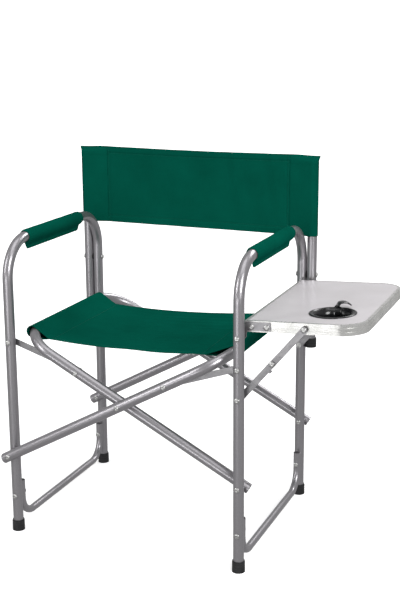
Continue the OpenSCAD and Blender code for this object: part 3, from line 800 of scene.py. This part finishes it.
def make_domes(node, body, axis):
    """Domed heads over the CAD rivets' plain heads, on the ends that have one."""
    vertices, faces = [], []
    across = 1 if axis == 0 else 0
    for points in islands(node):
        low, high = points.min(axis=0), points.max(axis=0)
        centre = (low + high) / 2
        for sign, end in ((-1, low), (1, high)):
            rim = points[np.abs(points[:, axis] - end[axis]) < 0.3 * MM]
            width = np.ptp(rim[:, across])
            if not 5.5 * MM < width < 8 * MM:
                continue
            place = centre.copy()
            place[axis] = end[axis] - sign * DOME_SINK
            direction = [0, 0, 0]
            direction[axis] = sign
            add_dome(vertices, faces, Vector(place), direction, DOME_R, DOME_H)
    if vertices:
        domes = new_object(f"{node}_domes", vertices, faces, MATERIALS["rivet_steel"])
        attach(domes, body)


def make_all_domes():
    for body, nodes in frame["record"]["behaviour"]["bodies"].items():
        for node in nodes:
            if "rivet" in node:
                make_domes(node, body, 0 if "post_rivets" in node else 1)


# ---- Cup holder ----


TRAY_TILT = math.atan2(PANEL_HIGH.z - PANEL_LOW.z - 5 * MM, PANEL_HIGH.x - PANEL_LOW.x)
TRAY_UP = Vector((-math.sin(TRAY_TILT), 0, math.cos(TRAY_TILT)))
BASE_DROP = 33 * MM
STRAP_REACH = 39.9
STRAP_Y = STRAP_REACH * MM
STRAP_HALF_T = 1.3 * MM
# Radius and height in millimetres: the rim about the tray's top, the base about its own underside.
RIM_PROFILE = [
    (47.6, 0.05), (47.9, 0.7), (47.2, 1.6), (45.2, 2.1), (42.5, 2.0), (41.6, 1.3), (41.2, 1.1),
    (40.2, 1.4), (39.2, 1.2), (38.5, 0.3), (38.4, -0.6), (47.6, 0.05),
]
BASE_PROFILE = [
    (0.01, 0), (34, 0), (36.6, 0.5), (37, 2), (37, 5.5), (36.4, 6), (35.6, 5.6), (35.2, 3.4), (30, 3),
    (29.4, 3.5), (28.6, 3.5), (28, 3), (16, 3), (15.4, 3.5), (14.6, 3.5), (14, 3), (0.01, 3),
]


def tray_matrix():
    """The ring's own frame: its middle at the origin, the tray's top at height 0."""
    low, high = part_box("cup_ring")
    points = np.array([v.co[:] for v in frame["nodes"]["cup_ring"].data.vertices])
    heights = points @ np.array(TRAY_UP)
    centre = Vector(((low.x + high.x) / 2, (low.y + high.y) / 2, 0))
    top = float(heights.max())
    centre.z = (top - centre.x * TRAY_UP.x) / TRAY_UP.z
    turn = Matrix.Rotation(-TRAY_TILT, 4, "Y")
    return Matrix.Translation(centre) @ turn


def lathe(name, profile, material):
    sides = 96
    vertices, faces = [], []
    for r, h in profile:
        for k in range(sides):
            angle = 2 * math.pi * k / sides
            vertices.append((r * math.cos(angle), r * math.sin(angle), h))
    for ring in range(len(profile) - 1):
        for k in range(sides):
            a, b = ring * sides + k, ring * sides + (k + 1) % sides
            faces.append((a, b, b + sides, a + sides))
    return new_object(name, vertices, faces, material)


def ring_skirt(outer, inner, depth):
    """The ring's wall round the cup, shorter at the rear, where the strap's foot slides up."""
    steps = 120
    notch = 11.6  # degrees to each side
    notch_depth = 14 * MM
    vertices = []
    for k in range(steps):
        from_strap = abs((360 * k / steps - 90 + 180) % 360 - 180)
        low = -depth + (depth - notch_depth) * (from_strap < notch)
        angle = 2 * math.pi * k / steps
        for r, h in ((outer, 0.2 * MM), (inner, 0.2 * MM), (inner, low), (outer, low)):
            vertices.append((r * math.cos(angle), r * math.sin(angle), h))
    faces = []
    for k in range(steps):
        here, ahead = 4 * k, 4 * ((k + 1) % steps)
        for c in range(4):
            d = (c + 1) % 4
            faces.append((here + c, here + d, ahead + d, ahead + c))
    return new_object("cup_ring_skirt", vertices, faces, MATERIALS["cup_plastic"])


def make_strap():
    """The strap up from the base's rear, whose end curls over the ring and turns to a thumb hook."""
    path = np.array([
        [26, -33], [38.5, -33], [STRAP_REACH, -31.5], [STRAP_REACH, -18], [STRAP_REACH, 0], [39.8, 5],
        [40.6, 9], [44, 12], [50, 13], [57, 12], [62, 9.5], [65.5, 6.5],
    ]) * MM
    path = resample(path, 1.2 * MM)
    tangent = np.gradient(path, axis=0)
    tangent /= np.linalg.norm(tangent, axis=1, keepdims=True)
    normal = np.stack([tangent[:, 1], -tangent[:, 0]], axis=1)
    outline = [(-1, -0.7), (-0.93, -1), (0.93, -1), (1, -0.7), (1, 0.7), (0.93, 1), (-0.93, 1), (-1, 0.7)]
    vertices, faces = [], []
    for (py, pz), (ny, nz) in zip(path, normal):
        wide = (7.6 + 1.6 * float(smooth_step(np.array(pz), 3 * MM, 10 * MM))) * MM
        heading = math.radians(62) * float(smooth_step(np.array(pz), 2 * MM, 7 * MM))
        reach = py - STRAP_Y
        for u, v in outline:
            along = reach + v * ny * STRAP_HALF_T
            vertices.append((
                along * math.sin(heading) + u * wide * math.cos(heading),
                STRAP_Y + along * math.cos(heading) - u * wide * math.sin(heading),
                pz + v * nz * STRAP_HALF_T,
            ))
    count = len(outline)
    for r in range(len(path) - 1):
        for k in range(count):
            a, b = r * count + k, r * count + (k + 1) % count
            faces.append((a, b, b + count, a + count))
    faces.append(tuple(range(count - 1, -1, -1)))
    faces.append(tuple((len(path) - 1) * count + k for k in range(count)))
    return new_object("cup_base_strap", vertices, faces, MATERIALS["cup_plastic"])


def make_cup_holder():
    place = tray_matrix()
    black = MATERIALS["cup_plastic"]
    rim = lathe("cup_ring_rim", [(r * MM, h * MM) for r, h in RIM_PROFILE], black)
    skirt = ring_skirt(38.4 * MM, 37.6 * MM, 27 * MM)
    plate = lathe("cup_base_plate", [(r * MM, h * MM - BASE_DROP) for r, h in BASE_PROFILE], black)
    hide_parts("cup_base")
    strap = make_strap()
    for piece, body in ((rim, "table"), (skirt, "table"), (plate, "cup_base"), (strap, "cup_base")):
        piece.matrix_world = place
        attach(piece, body)


# ---- Stage, lights and camera ----


FLOOR_R = 5.0
BACKDROP_R = 8.0


def make_stage():
    """A round floor whose rim glows as white as the backdrop, so that no horizon shows.

    Neither of them lights the chair, which keeps the tubes' edges and undersides dark."""
    steps = 64
    turns = [2 * math.pi * k / steps for k in range(steps)]
    rim = [(FLOOR_R * math.cos(a), FLOOR_R * math.sin(a), 0) for a in turns]
    floor = new_object("floor", rim, [tuple(range(steps))], floor_material())
    floor.visible_diffuse = False
    floor.visible_glossy = False
    rises = [math.radians(a) for a in range(-90, 91, 6)]
    profile = [(BACKDROP_R * math.cos(a) + 1 * MM, BACKDROP_R * math.sin(a)) for a in rises]
    backdrop = lathe("backdrop", profile, backdrop_material())
    backdrop.visible_diffuse = False
    backdrop.visible_glossy = False
    backdrop.visible_transmission = False
    backdrop.visible_shadow = False
    world = bpy.data.worlds.new("studio")
    world.use_nodes = True
    world.node_tree.nodes["Background"].inputs["Color"].default_value = (1, 1, 1, 1)
    world.node_tree.nodes["Background"].inputs["Strength"].default_value = 0.42
    bpy.context.scene.world = world


def floor_material():
    shader = Shader("pale_floor", Roughness=0.95, Specular_IOR_Level=0.0, Emission_Strength=1.0)
    grain = shader.noise(shader.coordinates(), 3, 2)
    shader.use("Base Color", shader.ramp(grain, [(0, (0.86, 0.86, 0.86)), (1, (0.90, 0.90, 0.90))]))
    place = shader.coordinates((1 / FLOOR_R, 1 / FLOOR_R, 0))
    out = shader.node("ShaderNodeVectorMath", {0: place}, operation="LENGTH").outputs["Value"]
    shader.use("Emission Color", shader.ramp(out, [(0.1, (0.45, 0.45, 0.45)), (0.5, (1, 1, 1))]))
    return shader.material


def backdrop_material():
    white = (1, 1, 1, 1)
    return Shader("white_backdrop", Base_Color=white, Emission_Color=white, Emission_Strength=1.0).material


def area_light(name, place, target, size, watts):
    data = bpy.data.lights.new(name, "AREA")
    data.shape = "RECTANGLE"
    data.size, data.size_y = size
    data.energy = watts
    light = bpy.data.objects.new(name, data)
    light.location = place
    light.rotation_euler = (Vector(target) - Vector(place)).to_track_quat("-Z", "Y").to_euler()
    bpy.context.scene.collection.objects.link(light)


def make_lights():
    middle_point = (0, 0, 0.4)
    area_light("key", (2.2, -1.9, 1.9), middle_point, (1.0, 1.8), 72)
    area_light("fill", (-2.0, -2.1, 1.8), middle_point, (0.8, 1.8), 30)
    area_light("low", (-0.6, -2.7, 0.2), (0, 0, 0.45), (1.8, 0.5), 12)
    area_light("rim", (0.8, 2.2, 2.4), middle_point, (1.6, 0.8), 30)
    area_light("top", (0.2, -0.3, 3.0), middle_point, (2.0, 2.0), 20)


def make_camera():
    data = bpy.data.cameras.new("camera")
    data.sensor_width = 36
    data.lens = 70.76
    camera = bpy.data.objects.new("camera", data)
    camera.location = (0.8859, -2.3038, 1.1018)
    forward = Vector((-0.35162, 0.90571, -0.23677))
    roll = math.radians(-0.36)
    camera.rotation_euler = (
        forward.to_track_quat("-Z", "Y").to_matrix() @ Matrix.Rotation(roll, 3, "Z")
    ).to_euler()
    data.clip_start, data.clip_end = 0.05, 50
    bpy.context.scene.collection.objects.link(camera)
    bpy.context.scene.camera = camera


make_camera()
make_stage()
make_lights()
bpy.context.scene.view_settings.view_transform = "Standard"
paint_frame()
make_back()
make_seat()
for arm_side in ("left", "right"):
    make_arm_cover(arm_side)
make_all_domes()
make_cup_holder()
